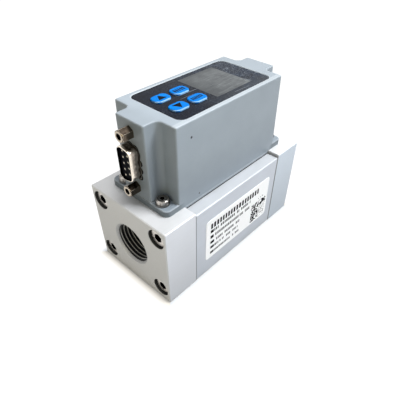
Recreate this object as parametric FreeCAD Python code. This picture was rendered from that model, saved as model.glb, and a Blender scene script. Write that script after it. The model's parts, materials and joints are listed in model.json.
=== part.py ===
import FreeCAD, Part
import math
import os

# Thermal mass flow meter. Millimetres, +X along the flow, -Y the label side, +Z up.
# The origin is the middle of the flow body's underside.

V = FreeCAD.Vector
AXIS_X = V(1, 0, 0)
AXIS_Z = V(0, 0, 1)

# Flow body
port_block_length = 18.0
middle_block_length = 60.0
body_width = 48.0
body_height = 44.0
slit_height = 1.5
side_step = 0.2
edge_break = 0.4

# Ports, half-inch parallel pipe thread, drawn as its outer radius
port_radius = 10.48
port_depth = 15.0
port_chamfer = 0.45
channel_radius = 8.0
flow_lift = 0.5

# End screws, M5
end_screw_radius = 2.5
end_screw_head_radius = 4.25
end_screw_head_height = 5.0
end_screw_socket_flats = 4.0
end_screw_length = 20.0
end_screw_spacing_y = 36.5
end_screw_spacing_z = 31.2
end_bore_clearance = 0.4
end_head_recess = 1.2
socket_share = 0.55
head_edge = 0.4

# Base holes, M4
base_hole_radius = 2.0
base_hole_depth = 7.0
base_hole_inset = 9.0
base_hole_spacing_y = 20.0

# General clearances
thread_clearance = 0.02
pass_clearance = 0.25
seat_clearance = 0.1
tap_runout = 1.2
overcut = 1.0
root = 0.5
tiny = 0.001

# Face seals and flow conditioning
o_ring_section = 1.8
o_ring_wall = 1.4
o_ring_side_gap = 0.3
o_ring_gap = 0.05
insert_lip = 1.0
ring_length = 1.0
ring_wall = 1.3
screen_thickness = 0.5
screen_hole = 2.0
screen_web = 0.8
straightener_length = 6.0
cell_flats = 2.2
cell_web = 0.4
cell_rim = 1.1

# Sensor unit
carrier_length = 24.0
carrier_width = 18.0
carrier_thickness = 2.5
carrier_corner = 1.9
carrier_rib_height = 2.0
carrier_rib_width = 2.0
carrier_rib_inset = 2.0
carrier_rib_edge = 0.5
stem_radius = 6.0
sensor_ring_section = 1.5
sensor_ring_height = 4.5
chip_length = 4.0
chip_width = 2.4
chip_thickness = 0.5
sensor_board_margin = 1.0
sensor_board_corner = 1.0
board_thickness = 1.6
sensor_screw_radius = 1.25
sensor_screw_head_radius = 2.25
sensor_screw_head_height = 2.0
sensor_screw_socket_flats = 2.0
sensor_screw_length = 10.0
sensor_screw_edge = 2.6

# Side seals in the slit under the housing
seal_sink = 0.6
seal_width = 1.8
seal_end_gap = 0.1

# Label
label_length = 48.6
label_height = 24.8
label_thickness = 0.15
label_corner = 1.5
label_offset_x = 0.7
label_offset_z = 0.2

# Panel plate, keys and window
panel_thickness = 0.7
panel_sink = 0.2
panel_corner = 3.2
panel_clearance = 0.1
panel_near_margin = 3.6
panel_far_margin = 9.8
panel_side_margin = 4.0
key_length = 8.2
key_width = 6.0
key_gap_x = 2.0
key_gap_y = 4.1
key_corner = 2.3
key_proud = 0.7
key_crown = 0.5
key_side_gap = 0.15
key_flange = 0.4
key_flange_thickness = 0.5
key_stem = 3.0
key_row_shift = 0.95
window_gap = 2.8
window_length = 22.0
window_width = 23.0
window_shift = 0.7
window_side_gap = 0.05
opening_margin = 1.0
opening_corner = 1.5

# Switches under the keys
switch_size = 6.0
switch_height = 2.4
switch_floor = 0.6
plunger_radius = 1.7
plunger_gap = 0.1
plunger_foot = 1.4
plunger_reach = 0.3
key_travel = 0.4

# Housing casting; its height follows the socket, with jack_lift left under the lower jackscrew
base_thickness = 3.0
jack_lift = 4.505
base_lip = 0.4
ear_corner = 2.5
tower_rim_x = 5.0
tower_rim_y = 2.3
boss_reach = 7.1
draft = 0.5
side_wall = 1.6
end_wall = 2.2
boss_wall = 1.4
top_wall = 1.8
notch_radius = 2.6
corner_radius = 0.8
top_round = 0.6
base_edge = 0.3
recess_edge = 0.25

# Ear screws, M3 with low heads, and their washers
ear_screw_radius = 1.5
ear_screw_head_radius = 2.75
ear_screw_head_height = 2.0
ear_screw_socket_flats = 2.0
ear_screw_length = 10.0
ear_screw_gap = 0.45
washer_radius = 3.1
washer_thickness = 0.8
washer_play = 0.1

# Main board and display module
post_radius = 2.2
post_length = 4.7
post_inset = 2.0
board_gap = 1.0
board_corner = 1.5
board_screw_radius = 1.25
board_screw_head_radius = 2.2
board_screw_head_height = 1.6
board_screw_socket_flats = 2.0
board_screw_length = 5.0
board_tap_runout = 0.6
glass_thickness = 2.2
glass_margin = 1.0
glass_corner = 0.5
frame_margin = 0.7
frame_wall = 2.2
frame_floor = 0.8
frame_corner = 0.8

# Nine-way socket
shell_height = 16.33
shell_width = 7.9
shell_corner = 2.6
shell_slope = 10.0
shell_reach = 6.6
shell_skin = 0.45
shell_lip_round = 0.27
flange_end = 2.905
flange_width = 12.55
flange_corner = 1.2
flange_skin = 0.5
cutout_gap = 0.35
face_sink = 0.8
insulator_gap = 0.05
contact_counts = (5, 4)
contact_pitch = 2.77
contact_row_gap = 2.84
contact_radius = 0.85
contact_bore = 0.5
contact_sink = 0.05
contact_bore_depth = 5.0
contact_gap = 0.05
rear_width = 10.7
rear_depth = 5.7
connector_headroom = 0.3

# Jackscrews, 4-40; the bore is drawn at the thread's outer radius, the shank at its middle one
jack_spacing = 24.99
jack_flats = 4.76
jack_length = 5.1
jack_chamfer = 0.6
jack_bore_radius = 1.42
jack_bore_depth = 4.6
jack_shank_radius = 1.2
jack_hole_radius = 1.6
jack_nut_flats = 5.0
jack_nut_height = 2.0
jack_nut_gap = 0.01
jack_tip = 0.6

# Inner boards and cable
link_board_width = 20.0
link_board_gap = 1.4
header_height = 2.5
header_pin = 0.6
header_pins = 6
header_pitch = 2.54
socket_length = 4.0
socket_width = 10.0
socket_height = 2.5
socket_gap = 1.5
ribbon_width = 8.0
ribbon_thickness = 0.5
ribbon_step = 4.0

# Places worked out from the sizes above
flow_z = body_height / 2.0 + flow_lift
half_middle = middle_block_length / 2.0
half_body = half_middle + port_block_length
middle_top = body_height - slit_height
middle_half_width = body_width / 2.0 - side_step
end_head_bore = end_screw_head_radius + end_bore_clearance
end_bore_depth = end_screw_head_height + end_head_recess
insert_radius = channel_radius + insert_lip
o_ring_inner = insert_radius + o_ring_wall
o_ring_groove = o_ring_section + 2 * o_ring_gap

keys_length = 2 * key_length + key_gap_x
keys_width = 2 * key_width + key_gap_y
panel_length = panel_near_margin + keys_length + window_gap + window_length + panel_far_margin
panel_width = max(keys_width + 2 * key_row_shift, window_width) + 2 * panel_side_margin - 2 * window_shift
panel_x0 = -panel_length / 2.0
keys_x0 = panel_x0 + panel_near_margin
window_x0 = keys_x0 + keys_length + window_gap
window_mid_x = window_x0 + window_length / 2.0
window_mid_y = window_shift
glass_length = window_length + 2 * glass_margin
glass_width = window_width + 2 * glass_margin
key_rows = {
    "far": -key_row_shift + (key_width + key_gap_y) / 2.0,
    "label": -key_row_shift - (key_width + key_gap_y) / 2.0,
}
key_columns = {
    "near": keys_x0 + key_length / 2.0,
    "inner": keys_x0 + 1.5 * key_length + key_gap_x,
}
key_places = {
    "key_up": (key_columns["near"], key_rows["far"]),
    "key_down": (key_columns["near"], key_rows["label"]),
    "key_mode": (key_columns["inner"], key_rows["far"]),
    "key_enter": (key_columns["inner"], key_rows["label"]),
}

base_top = body_height + base_thickness
jack_places = [base_top + jack_lift, base_top + jack_lift + jack_spacing]
connector_z = sum(jack_places) / 2.0
flange_height = jack_spacing + 2 * flange_end
cavity_top = connector_z + flange_height / 2.0 + connector_headroom
housing_top = cavity_top + top_wall
recess_floor = housing_top - panel_sink - panel_thickness
panel_top = recess_floor + panel_thickness
tower_top_x = panel_length / 2.0 + tower_rim_x
tower_top_y = panel_width / 2.0 + tower_rim_y
tower_x = tower_top_x + draft
tower_y = tower_top_y + draft
cavity_x = tower_top_x - side_wall
cavity_y = tower_top_y - side_wall
boss_cavity_y = flange_width / 2.0 + panel_clearance
boss_top_y = boss_cavity_y + boss_wall
boss_y = boss_top_y + draft
boss_x = tower_top_x + boss_reach
boss_cavity_x = boss_x - end_wall
boss_seat_depth = notch_radius
base_x = boss_x + base_lip
base_y = tower_y
ear_x = tower_x + washer_radius + ear_screw_gap
ear_y = boss_y + washer_radius + ear_screw_gap
ear_places = [(sx * ear_x, sy * ear_y) for sx in (-1, 1) for sy in (-1, 1)]

board_top = cavity_top - post_length
board_bottom = board_top - board_thickness
board_half_x = cavity_x - board_gap
board_half_y = cavity_y - board_gap
post_x = board_half_x - post_inset
post_y = board_half_y - post_inset
post_places = [(sx * post_x, sy * post_y) for sx in (-1, 1) for sy in (-1, 1)]
switch_top = board_top + switch_height
key_flange_top = recess_floor - seat_clearance
key_flange_bottom = key_flange_top - key_flange_thickness
key_top = panel_top + key_proud
plunger_bottom = board_top + switch_floor + plunger_foot - key_travel
plunger_top = switch_top + key_travel + plunger_reach

flange_x = -boss_cavity_x
rim_x = flange_x - shell_reach
rear_x = flange_x + 2 * flange_skin
rear_end = rear_x + rear_depth
rear_height = jack_spacing - 2 * jack_nut_flats / math.sqrt(3.0) - 2 * jack_nut_gap

carrier_top = middle_top
carrier_bottom = middle_top - carrier_thickness
channel_top = flow_z + channel_radius
stem_bottom = channel_top + chip_thickness
sensor_board_bottom = carrier_top + carrier_rib_height
sensor_board_top = sensor_board_bottom + board_thickness
sensor_screw_x = carrier_length / 2.0 - sensor_screw_edge


def block(x0, x1, y0, y1, z0, z1):
    return Part.makeBox(x1 - x0, y1 - y0, z1 - z0, V(x0, y0, z0))


def rod(radius, start, direction, length):
    return Part.makeCylinder(radius, length, start, direction)


def rounded_plate(mid_x, mid_y, length, width, z0, z1, radius):
    plate = block(mid_x - length / 2, mid_x + length / 2, mid_y - width / 2, mid_y + width / 2, z0, z1)
    upright = [e for e in plate.Edges if abs(e.Vertexes[0].Z - e.Vertexes[1].Z) > (z1 - z0) / 2]
    return plate.makeFillet(radius, upright)


def hexagon_prism(flats, start, direction, length):
    corner = flats / math.sqrt(3.0)
    points = []
    for k in range(7):
        angle = math.radians(60 * k)
        points.append(V(corner * math.cos(angle), corner * math.sin(angle), 0))
    face = Part.Face(Part.makePolygon(points))
    prism = face.extrude(V(0, 0, length))
    prism.Placement = FreeCAD.Placement(start, FreeCAD.Rotation(AXIS_Z, direction))
    return prism


def cap_screw(seat, direction, radius, head_radius, head_height, flats, length):
    """A socket head cap screw whose head stands on seat; direction points out of the head."""
    head = rod(head_radius, seat, direction, head_height - head_edge)
    crown = seat + direction * (head_height - head_edge)
    head = head.fuse(Part.makeCone(head_radius, head_radius - head_edge, head_edge, crown, direction))
    depth = head_height * socket_share
    socket = hexagon_prism(flats, seat + direction * (head_height - depth), direction, depth + overcut)
    shank = rod(radius, seat, direction * -1, length)
    return head.cut(socket).fuse(shank).removeSplitter()


def seal_ring(middle_radius, section, centre, direction, sides=8):
    """A sealing ring; its round section is drawn with eight sides."""
    points = []
    for k in range(sides + 1):
        angle = 2 * math.pi * (k + 0.5) / sides
        points.append(V(middle_radius + section / 2 * math.cos(angle), 0, section / 2 * math.sin(angle)))
    ring = Part.Face(Part.makePolygon(points)).revolve(V(0, 0, 0), AXIS_Z, 360)
    ring.Placement = FreeCAD.Placement(centre, FreeCAD.Rotation(AXIS_Z, direction))
    return ring


def group(solids):
    return Part.makeCompound(solids)


# Flow body

def end_screw_places():
    places = []
    for sy in (-1, 1):
        for sz in (-1, 1):
            places.append((sy * end_screw_spacing_y / 2, flow_z + sz * end_screw_spacing_z / 2))
    return places


def port_block(side):
    """side is -1 for the inlet and +1 for the outlet."""
    outer = side * half_body
    inner = side * half_middle
    out = AXIS_X * side
    shape = block(min(outer, inner), max(outer, inner), -body_width / 2, body_width / 2, 0, body_height)
    shape = shape.makeChamfer(edge_break, shape.Edges)
    shape = shape.cut(rod(port_radius, V(outer, 0, flow_z), out * -1, port_depth))
    mouth_radius = port_radius + port_chamfer
    shape = shape.cut(Part.makeCone(mouth_radius, port_radius, port_chamfer, V(outer, 0, flow_z), out * -1))
    shape = shape.cut(rod(channel_radius, V(outer, 0, flow_z), out * -1, port_block_length))
    hole_radius = end_screw_radius + pass_clearance
    for y, z in end_screw_places():
        shape = shape.cut(rod(end_head_bore, V(outer, y, z), out * -1, end_bore_depth))
        shape = shape.cut(rod(hole_radius, V(outer, y, z), out * -1, port_block_length))
    tap_radius = ear_screw_radius + thread_clearance
    tap_depth = ear_screw_length - base_thickness - washer_thickness + tap_runout
    for x, y in ear_places:
        if x * side > 0:
            shape = shape.cut(rod(tap_radius, V(x, y, body_height), AXIS_Z * -1, tap_depth))
    for sy in (-1, 1):
        place = V(outer - side * base_hole_inset, sy * base_hole_spacing_y / 2, 0)
        shape = shape.cut(rod(base_hole_radius, place, AXIS_Z, base_hole_depth))
    return shape


def insert_depth(side):
    depth = ring_length + screen_thickness + seat_clearance
    if side < 0:
        depth += straightener_length
    return depth


def body_block():
    shape = block(-half_middle, half_middle, -middle_half_width, middle_half_width, 0, middle_top)
    long_edges = [e for e in shape.Edges if abs(e.Vertexes[0].X - e.Vertexes[1].X) > half_middle]
    shape = shape.makeChamfer(edge_break, long_edges)
    shape = shape.cut(rod(channel_radius, V(-half_middle, 0, flow_z), AXIS_X, middle_block_length))
    grip = end_screw_length - (port_block_length - end_bore_depth) + tap_runout
    for side in (-1, 1):
        face = V(side * half_middle, 0, flow_z)
        inward = AXIS_X * -side
        shape = shape.cut(rod(insert_radius, face, inward, insert_depth(side)))
        groove = rod(o_ring_inner + o_ring_section + 2 * o_ring_side_gap, face, inward, o_ring_groove)
        groove = groove.cut(rod(o_ring_inner, face, inward, o_ring_groove))
        shape = shape.cut(groove)
        for y, z in end_screw_places():
            hole = rod(end_screw_radius + thread_clearance, V(side * half_middle, y, z), inward, grip)
            shape = shape.cut(hole)
    pocket = rounded_plate(0, 0, carrier_length + 2 * seat_clearance, carrier_width + 2 * seat_clearance,
                           carrier_bottom, middle_top + overcut, carrier_corner + seat_clearance)
    shape = shape.cut(pocket)
    shape = shape.cut(rod(stem_radius + seat_clearance, V(0, 0, flow_z), AXIS_Z, middle_top - flow_z))
    deep = sensor_screw_length - board_thickness - carrier_rib_height - carrier_thickness + tap_runout
    for side in (-1, 1):
        place = V(side * sensor_screw_x, 0, carrier_bottom)
        shape = shape.cut(rod(sensor_screw_radius + thread_clearance, place, AXIS_Z * -1, deep))
    return shape


def end_screws(side):
    screws = []
    seat_x = side * (half_body - end_bore_depth)
    for y, z in end_screw_places():
        screws.append(cap_screw(V(seat_x, y, z), AXIS_X * side, end_screw_radius, end_screw_head_radius,
                                end_screw_head_height, end_screw_socket_flats, end_screw_length))
    return group(screws)


def face_o_ring(side):
    centre = V(side * (half_middle - o_ring_groove / 2), 0, flow_z)
    middle_radius = o_ring_inner + o_ring_side_gap + o_ring_section / 2
    return seal_ring(middle_radius, o_ring_section, centre, AXIS_X)


# Flow conditioning, from the joint face inward: ring, screen, straightener

def insert_ring(side):
    start = V(side * (half_middle - ring_length), 0, flow_z)
    radius = insert_radius - seat_clearance
    ring = rod(radius, start, AXIS_X * side, ring_length)
    return ring.cut(rod(radius - ring_wall, start, AXIS_X * side, ring_length))


def screen(side):
    """A disc with square holes inside its rim."""
    start = V(side * (half_middle - ring_length - screen_thickness), 0, flow_z)
    radius = insert_radius - seat_clearance
    disc = rod(radius, start, AXIS_X * side, screen_thickness)
    pitch = screen_hole + screen_web
    reach = int(radius / pitch)
    x0 = min(start.x, start.x + side * screen_thickness)
    holes = []
    for i in range(-reach, reach + 1):
        for j in range(-reach, reach + 1):
            corner = math.hypot(i, j) * pitch + screen_hole / math.sqrt(2.0)
            if corner < radius - ring_wall:
                y = i * pitch
                z = flow_z + j * pitch
                holes.append(block(x0, x0 + screen_thickness, y - screen_hole / 2, y + screen_hole / 2,
                                   z - screen_hole / 2, z + screen_hole / 2))
    return disc.cut(group(holes))


def flow_straightener():
    """A honeycomb disc of hexagonal cells."""
    start = V(-half_middle + ring_length + screen_thickness, 0, flow_z)
    radius = insert_radius - seat_clearance
    disc = rod(radius, start, AXIS_X, straightener_length)
    pitch = cell_flats + cell_web
    row = pitch * math.sqrt(3.0) / 2
    reach = int(radius / row) + 1
    cells = []
    for j in range(-reach, reach + 1):
        for i in range(-reach, reach + 1):
            y = (i + 0.5 * (j % 2)) * pitch
            z = j * row
            corner = math.hypot(y, z) + cell_flats / math.sqrt(3.0)
            if corner < radius - cell_rim:
                cells.append(hexagon_prism(cell_flats, start + V(0, y, z), AXIS_X, straightener_length))
    return disc.cut(group(cells))


# Sensor unit on the middle block

def sensor_carrier():
    plate = rounded_plate(0, 0, carrier_length, carrier_width, carrier_bottom, carrier_top, carrier_corner)
    stem = rod(stem_radius, V(0, 0, stem_bottom), AXIS_Z, carrier_bottom - stem_bottom + root)
    shape = plate.fuse(stem)
    rib_end = carrier_length / 2 - carrier_rib_inset
    for side in (-1, 1):
        y = side * (carrier_width / 2 - carrier_rib_width / 2 - carrier_rib_edge)
        shape = shape.fuse(block(-rib_end, rib_end, y - carrier_rib_width / 2, y + carrier_rib_width / 2,
                                 carrier_top - root, sensor_board_bottom))
        boss = rod(sensor_screw_head_radius, V(side * sensor_screw_x, 0, carrier_top - root), AXIS_Z,
                   carrier_rib_height + root)
        shape = shape.fuse(boss)
    for side in (-1, 1):
        place = V(side * sensor_screw_x, 0, carrier_bottom)
        shape = shape.cut(rod(sensor_screw_radius + pass_clearance, place, AXIS_Z,
                              sensor_board_bottom - carrier_bottom))
    height = sensor_ring_section + 2 * o_ring_side_gap
    start = V(0, 0, stem_bottom + sensor_ring_height - height / 2)
    groove = rod(stem_radius + overcut, start, AXIS_Z, height)
    groove = groove.cut(rod(stem_radius - sensor_ring_section, start, AXIS_Z, height))
    return shape.cut(groove).removeSplitter()


def sensor_o_ring():
    middle_radius = stem_radius - sensor_ring_section / 2 + seat_clearance / 2
    return seal_ring(middle_radius, sensor_ring_section, V(0, 0, stem_bottom + sensor_ring_height), AXIS_Z)


def sensor_chip():
    return block(-chip_length / 2, chip_length / 2, -chip_width / 2, chip_width / 2, channel_top, stem_bottom)


def sensor_board():
    board = rounded_plate(0, 0, carrier_length + 2 * sensor_board_margin,
                          carrier_width + 2 * sensor_board_margin, sensor_board_bottom, sensor_board_top,
                          sensor_board_corner)
    for side in (-1, 1):
        place = V(side * sensor_screw_x, 0, sensor_board_bottom)
        board = board.cut(rod(sensor_screw_radius + pass_clearance, place, AXIS_Z, board_thickness))
    return board


def sensor_screws():
    screws = []
    for side in (-1, 1):
        seat = V(side * sensor_screw_x, 0, sensor_board_top)
        screws.append(cap_screw(seat, AXIS_Z, sensor_screw_radius, sensor_screw_head_radius,
                                sensor_screw_head_height, sensor_screw_socket_flats, sensor_screw_length))
    return group(screws)


# Label on the middle block

def rating_label():
    mid_x = label_offset_x
    mid_z = middle_top / 2 + label_offset_z
    sheet = rounded_plate(0, 0, label_length, label_height, 0, label_thickness, label_corner)
    sheet.rotate(V(0, 0, 0), AXIS_X, 90)
    sheet.translate(V(mid_x, -middle_half_width, mid_z))
    return sheet


# Housing casting

def arc(centre_x, centre_y, radius, first, last, z):
    points = []
    for angle in (first, (first + last) / 2.0, last):
        a = math.radians(angle)
        points.append(V(centre_x + radius * math.cos(a), centre_y + radius * math.sin(a), z))
    return Part.Arc(*points).toShape()


def tower_outline(z, half_x, half_y, end_x, end_y, convex, concave):
    """A rectangle with a boss on each end; the boss meets the tower in concave rounds."""
    quarter = [
        ("bulge", end_x - convex, end_y - convex, 0, 90),
        ("hollow", half_x + concave, end_y + concave, 270, 180),
        ("bulge", half_x - convex, half_y - convex, 0, 90),
    ]
    arcs = []
    for sx, sy in ((1, 1), (-1, 1), (-1, -1), (1, -1)):
        mirrored = sx * sy < 0
        for kind, cx, cy, first, last in (quarter[::-1] if mirrored else quarter):
            turned = []
            for angle in ((last, first) if mirrored else (first, last)):
                x = math.cos(math.radians(angle)) * sx
                y = math.sin(math.radians(angle)) * sy
                turned.append(math.degrees(math.atan2(y, x)))
            sweep = (turned[1] - turned[0] + 180) % 360 - 180
            radius = convex if kind == "bulge" else concave
            arcs.append(arc(sx * cx, sy * cy, radius, turned[0], turned[0] + sweep, z))
    edges = []
    for k, piece in enumerate(arcs):
        follower = arcs[(k + 1) % len(arcs)]
        edges.append(piece)
        edges.append(Part.makeLine(piece.lastVertex(True).Point, follower.firstVertex(True).Point))
    return Part.Wire(edges)


def tower_foot():
    return tower_outline(base_top, tower_x, tower_y, boss_x, boss_y, corner_radius, notch_radius)


def housing_base():
    """The flange with the four ears; its brim is bevelled except where the tower's wall comes down."""
    plate = rounded_plate(0, 0, 2 * base_x, 2 * base_y, body_height, base_top, ear_corner)
    brim = [e for e in plate.Edges if e.BoundBox.ZMin > base_top - tiny]
    plate = plate.makeChamfer(base_edge, brim)
    foot = Part.Face(tower_foot()).extrude(V(0, 0, -base_thickness))
    return plate.fuse(foot)


def housing_tower():
    high = tower_outline(housing_top, tower_top_x, tower_top_y, boss_x, boss_top_y, corner_radius,
                         notch_radius)
    tower = Part.makeLoft([tower_foot(), high], True, True)
    rim = [e for e in tower.Edges if e.BoundBox.ZMin > housing_top - tiny]
    return tower.makeFillet(top_round, rim)


def housing_cavity():
    hall = block(-cavity_x, cavity_x, -cavity_y, cavity_y, body_height, cavity_top)
    bosses = block(-boss_cavity_x, boss_cavity_x, -boss_cavity_y, boss_cavity_y, body_height, cavity_top)
    return hall.fuse(bosses).removeSplitter()


def d_prism(height, width, corner, x0, x1):
    """A prism along X with the socket's D outline; its long side is on +Y."""
    lean = width * math.tan(math.radians(shell_slope))
    top = connector_z + height / 2
    low = connector_z - height / 2
    points = [
        V(x0, width / 2, low),
        V(x0, width / 2, top),
        V(x0, -width / 2, top - lean),
        V(x0, -width / 2, low + lean),
        V(x0, width / 2, low),
    ]
    prism = Part.Face(Part.makePolygon(points)).extrude(V(x1 - x0, 0, 0))
    along = [e for e in prism.Edges if abs(e.Vertexes[0].X - e.Vertexes[1].X) > abs(x1 - x0) / 2]
    return prism.makeFillet(corner, along)


def housing():
    shape = housing_base().fuse(housing_tower()).cut(housing_cavity())
    for x, y in post_places:
        shape = shape.fuse(rod(post_radius, V(x, y, board_top), AXIS_Z, post_length + root))
    for x, y in post_places:
        depth = board_screw_length - board_thickness + board_tap_runout
        shape = shape.cut(rod(board_screw_radius + thread_clearance, V(x, y, board_top), AXIS_Z, depth))
    recess = rounded_plate(0, 0, panel_length + 2 * panel_clearance, panel_width + 2 * panel_clearance,
                           recess_floor, housing_top + overcut, panel_corner + panel_clearance)
    shape = shape.cut(recess)
    reach = panel_length / 2 + panel_clearance + tiny
    mouth = [e for e in shape.Edges if e.BoundBox.ZMin > housing_top - tiny
             and e.BoundBox.XMin > -reach and e.BoundBox.XMax < reach]
    shape = shape.makeChamfer(recess_edge, mouth)
    mid_x = keys_x0 + keys_length / 2
    well = rounded_plate(mid_x, -key_row_shift, keys_length + 2 * opening_margin,
                         keys_width + 2 * opening_margin, cavity_top - overcut, recess_floor + overcut,
                         opening_corner)
    shape = shape.cut(well)
    glass_well = rounded_plate(window_mid_x, window_mid_y, glass_length + 2 * seat_clearance,
                               glass_width + 2 * seat_clearance, cavity_top - overcut,
                               recess_floor + overcut, glass_corner + seat_clearance)
    shape = shape.cut(glass_well)
    ear_hole_radius = ear_screw_radius + pass_clearance
    for x, y in ear_places:
        shape = shape.cut(rod(ear_hole_radius, V(x, y, body_height), AXIS_Z, base_thickness))
    cutout = d_prism(shell_height + 2 * cutout_gap, shell_width + 2 * cutout_gap, shell_corner + cutout_gap,
                     -boss_x - overcut, flange_x + root)
    shape = shape.cut(cutout)
    seat_y = flange_width / 2 + panel_clearance
    seat_z = flange_height / 2 + panel_clearance
    shape = shape.cut(block(flange_x, flange_x + boss_seat_depth, -seat_y, seat_y, connector_z - seat_z,
                            connector_z + seat_z))
    for z in jack_places:
        shape = shape.cut(rod(jack_hole_radius, V(-boss_x - overcut, 0, z), AXIS_X, end_wall + 2 * overcut))
    return shape.removeSplitter()


def housing_screws():
    screws = []
    for x, y in ear_places:
        seat = V(x, y, base_top + washer_thickness)
        screws.append(cap_screw(seat, AXIS_Z, ear_screw_radius, ear_screw_head_radius,
                                ear_screw_head_height, ear_screw_socket_flats, ear_screw_length))
    return group(screws)


def housing_washers():
    washers = []
    for x, y in ear_places:
        washer = rod(washer_radius, V(x, y, base_top), AXIS_Z, washer_thickness)
        hole = rod(ear_screw_radius + washer_play, V(x, y, base_top), AXIS_Z, washer_thickness)
        washers.append(washer.cut(hole))
    return group(washers)


def side_seals():
    """Two soft strips that close the slit between the middle block and the housing."""
    half_length = half_middle - seal_end_gap
    outer = base_y - seal_sink
    strips = []
    for side in (-1, 1):
        y0 = side * outer
        y1 = side * (outer - seal_width)
        strips.append(block(-half_length, half_length, min(y0, y1), max(y0, y1), middle_top, body_height))
    return group(strips)


# Panel plate, window and keys

def keypad_overlay():
    plate = rounded_plate(0, 0, panel_length, panel_width, recess_floor, panel_top, panel_corner)
    for x, y in key_places.values():
        plate = plate.cut(rounded_plate(x, y, key_length + 2 * key_side_gap, key_width + 2 * key_side_gap,
                                        recess_floor - overcut, panel_top + overcut,
                                        key_corner + key_side_gap))
    hole = block(window_x0, window_x0 + window_length, window_mid_y - window_width / 2,
                 window_mid_y + window_width / 2, recess_floor - overcut, panel_top + overcut)
    return plate.cut(hole)


def display_window():
    return block(window_x0 + window_side_gap, window_x0 + window_length - window_side_gap,
                 window_mid_y - window_width / 2 + window_side_gap,
                 window_mid_y + window_width / 2 - window_side_gap, recess_floor, panel_top)


def key_cap(x, y):
    cap = rounded_plate(x, y, key_length, key_width, key_flange_bottom, key_top, key_corner)
    crown = [e for e in cap.Edges if e.BoundBox.ZMin > key_top - tiny]
    cap = cap.makeFillet(key_crown, crown)
    reach_x = key_length / 2 + key_flange
    reach_y = key_width / 2 + key_flange
    flange = block(x - reach_x, x + reach_x, y - reach_y, y + reach_y, key_flange_bottom, key_flange_top)
    stem = block(x - key_stem / 2, x + key_stem / 2, y - key_stem / 2, y + key_stem / 2,
                 plunger_top, key_flange_bottom)
    return cap.fuse(flange).fuse(stem).removeSplitter()


def switch_plunger(x, y):
    return rod(plunger_radius, V(x, y, plunger_bottom), AXIS_Z, plunger_top - plunger_bottom)


def key_switches():
    switches = []
    for x, y in key_places.values():
        base = block(x - switch_size / 2, x + switch_size / 2, y - switch_size / 2, y + switch_size / 2,
                     board_top, switch_top)
        well = rod(plunger_radius + plunger_gap, V(x, y, board_top + switch_floor), AXIS_Z, switch_height)
        switches.append(base.cut(well))
    return group(switches)


# Main board and display module

def main_board():
    board = rounded_plate(0, 0, 2 * board_half_x, 2 * board_half_y, board_bottom, board_top, board_corner)
    hole_radius = board_screw_radius + pass_clearance
    for x, y in post_places:
        board = board.cut(rod(hole_radius, V(x, y, board_bottom), AXIS_Z, board_thickness))
    return board


def board_screws():
    screws = []
    for x, y in post_places:
        seat = V(x, y, board_bottom)
        screws.append(cap_screw(seat, AXIS_Z * -1, board_screw_radius, board_screw_head_radius,
                                board_screw_head_height, board_screw_socket_flats, board_screw_length))
    return group(screws)


def lcd_glass():
    return rounded_plate(window_mid_x, window_mid_y, glass_length, glass_width,
                         recess_floor - glass_thickness, recess_floor, glass_corner)


def lcd_frame():
    """The frame that carries the glass on the main board, open in the middle."""
    top = recess_floor - glass_thickness
    length = glass_length + 2 * frame_margin
    width = glass_width + 2 * frame_margin
    frame = rounded_plate(window_mid_x, window_mid_y, length, width, board_top, top, frame_corner)
    open_x = length / 2 - frame_wall
    open_y = width / 2 - frame_wall
    inner = block(window_mid_x - open_x, window_mid_x + open_x, window_mid_y - open_y,
                  window_mid_y + open_y, board_top + frame_floor, top + overcut)
    return frame.cut(inner)


# Nine-way socket on the near end boss

def flange_plate(x0, x1):
    plate = block(x0, x1, -flange_width / 2, flange_width / 2, connector_z - flange_height / 2,
                  connector_z + flange_height / 2)
    along = [e for e in plate.Edges if abs(e.Vertexes[0].X - e.Vertexes[1].X) > (x1 - x0) / 2]
    plate = plate.makeFillet(flange_corner, along)
    for z in jack_places:
        plate = plate.cut(rod(jack_hole_radius, V(x0, 0, z), AXIS_X, x1 - x0))
    return plate


def connector_shell():
    shell = d_prism(shell_height, shell_width, shell_corner, rim_x, flange_x)
    lip = [e for e in shell.Edges if e.BoundBox.XMax < rim_x + tiny]
    shell = shell.makeFillet(shell_lip_round, lip)
    shell = shell.fuse(flange_plate(flange_x, flange_x + flange_skin))
    inner = d_prism(shell_height - 2 * shell_skin, shell_width - 2 * shell_skin, shell_corner - shell_skin,
                    rim_x - overcut, flange_x + overcut)
    return shell.cut(inner).removeSplitter()


def contact_places():
    """Two staggered rows, the longer one on +Y."""
    places = []
    for side, count in zip((1, -1), contact_counts):
        for k in range(count):
            z = connector_z + (k - (count - 1) / 2.0) * contact_pitch
            places.append((side * contact_row_gap / 2, z))
    return places


def connector_insulator():
    skin = shell_skin + insulator_gap
    front = d_prism(shell_height - 2 * skin, shell_width - 2 * skin, shell_corner - skin,
                    rim_x + face_sink, rear_x)
    rear = block(rear_x, rear_end, -rear_width / 2, rear_width / 2, connector_z - rear_height / 2,
                 connector_z + rear_height / 2)
    shape = front.fuse(rear)
    for y, z in contact_places():
        shape = shape.cut(rod(contact_radius + contact_gap, V(rim_x, y, z), AXIS_X, rear_end - rim_x))
    return shape


def connector_contacts():
    contacts = []
    start = rim_x + face_sink + contact_sink
    for y, z in contact_places():
        sleeve = rod(contact_radius, V(start, y, z), AXIS_X, rear_end - start)
        contacts.append(sleeve.cut(rod(contact_bore, V(start, y, z), AXIS_X, contact_bore_depth)))
    return group(contacts)


def connector_rear_shell():
    plate = flange_plate(flange_x + flange_skin, rear_x)
    hole = d_prism(shell_height - 2 * shell_skin, shell_width - 2 * shell_skin, shell_corner - shell_skin,
                   flange_x, rear_x + overcut)
    return plate.cut(hole)


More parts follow.
